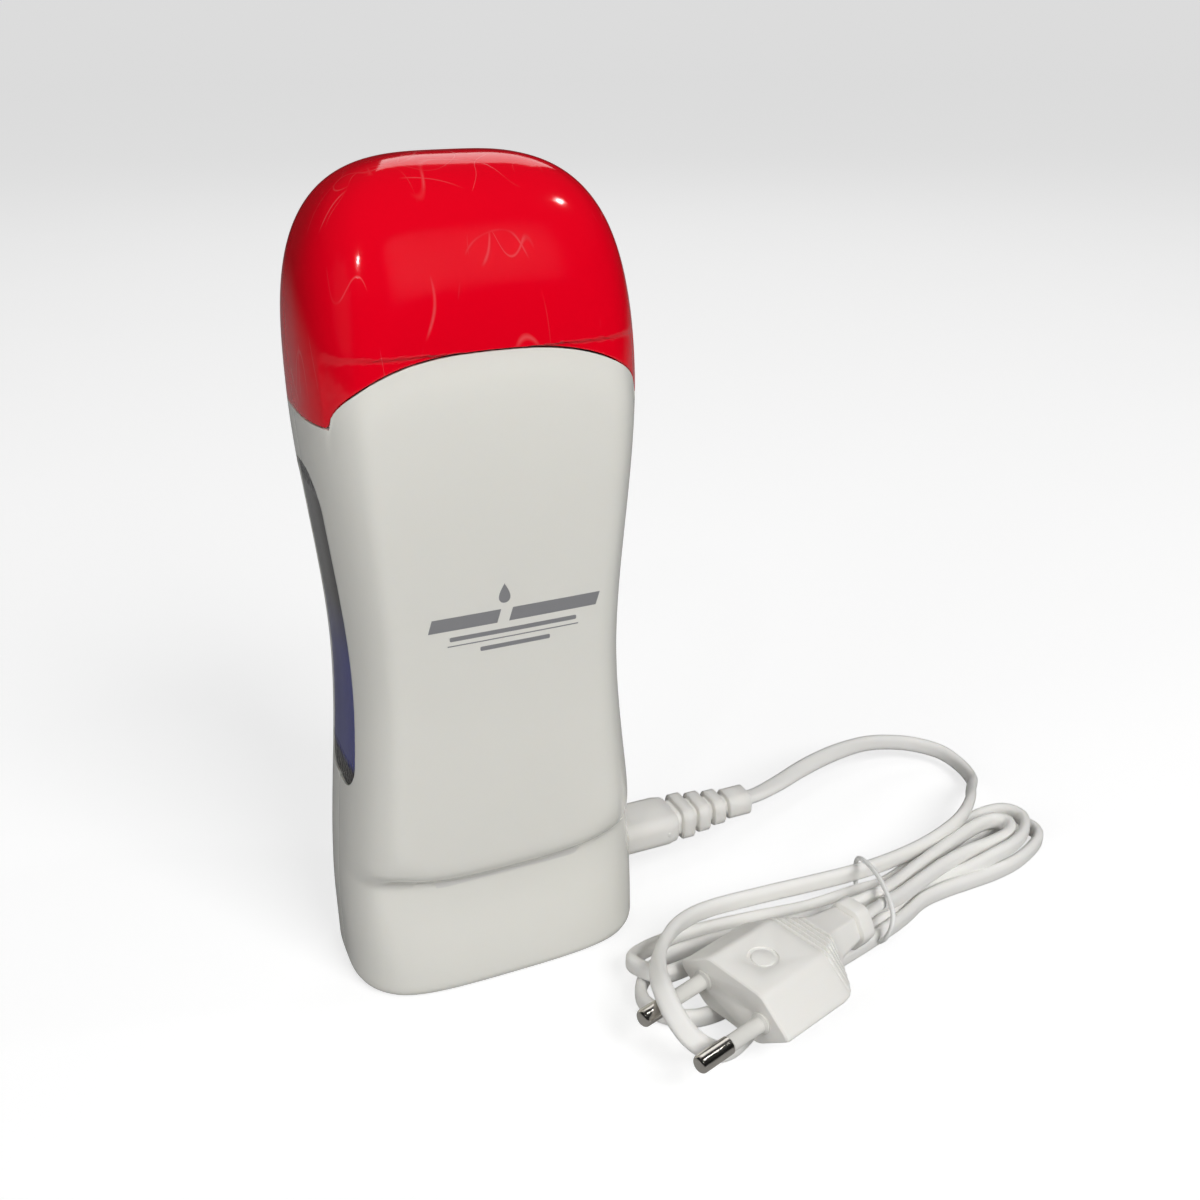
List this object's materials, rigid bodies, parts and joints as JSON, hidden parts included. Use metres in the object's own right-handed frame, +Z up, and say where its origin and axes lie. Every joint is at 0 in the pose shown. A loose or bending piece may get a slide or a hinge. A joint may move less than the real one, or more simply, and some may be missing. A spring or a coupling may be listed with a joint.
{
  "type": "roll-on wax heater",
  "caption": "Upright hand-held heater for a roll-on wax cartridge, with a lift-off cap, a side window and a detachable mains lead tied in a hank.",
  "frame": {"origin": "centre of the heater's footprint, on the surface it stands on (the lead left out)", "axes": "+Z up along the heater, -Y is the front with the raised panel, +X is the narrow side with the mains inlet"},
  "size_m": [0.1904, 0.1046, 0.1851],
  "materials": {
    "shell_white": "smooth moulded ABS, gloss",
    "cap_red": "smooth moulded, deep red gloss",
    "window_clear": "clear moulded plastic",
    "inner_white": "plain moulded",
    "plate_aluminium": "rolled sheet",
    "element_black": "ceramic in an insulating sleeve",
    "clip_steel": "spring steel",
    "sheet_amber": "thin insulating film",
    "fuse_tan": "glazed ceramic",
    "wire_brown": "PVC insulation",
    "wire_blue": "PVC insulation",
    "inlet_white": "plain moulded",
    "contact_brass": "stamped",
    "screw_steel": "zinc plated",
    "lead_white": "soft moulded PVC, satin",
    "cord_white": "flat PVC cord, satin",
    "tie_white": "plastic-coated wire",
    "pin_nickel": "nickel-plated brass",
    "sleeve_white": "moulded insulation"
  },
  "bodies": {
    "heater": {"front_shell": "shell_white", "rear_shell": "shell_white", "side_window": "window_clear", "neck_ring": "inner_white", "cartridge_pocket": "inner_white", "heating_plate": "plate_aluminium", "heating_element": "element_black", "element_clip": "clip_steel", "insulation_sheet": "sheet_amber", "thermostat": "element_black", "thermal_fuse": "fuse_tan", "live_wire": "wire_brown", "neutral_wire": "wire_blue", "inlet_housing": "inlet_white", "inlet_pins": "contact_brass", "shell_screws": "screw_steel"},
    "cap": {"cap": "cap_red"},
    "lead": {"connector_body": "lead_white", "connector_contacts": "contact_brass", "cord_lead": "cord_white", "cord_loop": "cord_white", "cord_hank": "cord_white", "cord_tie": "tie_white", "plug_body": "lead_white", "plug_pins": "pin_nickel", "pin_sleeves": "sleeve_white"}
  },
  "joints": [
    {"name": "cap_lift", "type": "slide", "parent": "heater", "child": "cap", "axis": [0, 0, 1], "range_m": [0, 0.06]},
    {"name": "lead_unplug", "type": "slide", "parent": "heater", "child": "lead", "axis": [1, 0, 0], "range_m": [0, 0.03]}
  ]
}
